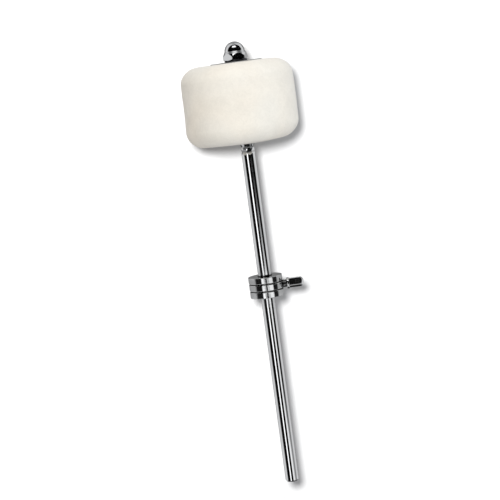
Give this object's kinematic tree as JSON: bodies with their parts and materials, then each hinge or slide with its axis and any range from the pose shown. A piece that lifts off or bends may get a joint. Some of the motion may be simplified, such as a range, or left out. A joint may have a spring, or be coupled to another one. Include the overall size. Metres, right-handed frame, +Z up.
{
  "type": "bass drum beater",
  "caption": "Bass drum pedal beater: pressed-felt cylinder head under a domed cap nut on a chrome rod, with a grooved sliding balance weight and its clamp screw.",
  "frame": {"origin": "centre of the rod's lower end face, the end that goes into the pedal's beater clamp", "axes": "+Z up the rod towards the felt head, +X along the balance weight's clamp screw, pointing out of the weight"},
  "size_m": [0.0654, 0.0654, 0.2623],
  "materials": {
    "chrome": "bright chrome plate with faint drawing marks and small scuffs",
    "felt": "pressed wool felt, off-white, with short fibres and cloudy shading",
    "zinc": "zinc-plated steel with punched edges and rubbed rings",
    "spring_steel": "dark oiled spring steel",
    "brass": "turned brass with fine lathe rings"
  },
  "bodies": {
    "rod": {"rod": "chrome", "seat_washer": "zinc", "top_washer": "zinc", "spring_washer": "spring_steel", "cap_nut": "chrome"},
    "felt_head": {"felt_head": "felt"},
    "weight": {"weight_collar": "chrome"},
    "pad": {"pressure_pad": "brass"},
    "key_screw": {"key_screw": "chrome"}
  },
  "joints": [
    {"name": "weight_slide", "type": "slide", "parent": "rod", "child": "weight", "axis": [0, 0, 1], "range_m": [-0.06, 0.07]},
    {"name": "pad_travel", "type": "slide", "parent": "weight", "child": "pad", "axis": [1, 0, 0], "range_m": [0, 0.0016]},
    {"name": "screw_turn", "type": "hinge", "parent": "pad", "child": "key_screw", "pos_m": [0.00555, 0, 0.1186], "axis": [1, 0, 0], "range_deg": [0, 720]},
    {"name": "head_turn", "type": "hinge", "parent": "rod", "child": "felt_head", "pos_m": [0, 0, 0.2268], "axis": [0, 0, 1], "continuous": true}
  ],
  "couplings": [
    {"joint": "screw_turn", "follows": "pad_travel", "rad_per_m": 7854}
  ]
}
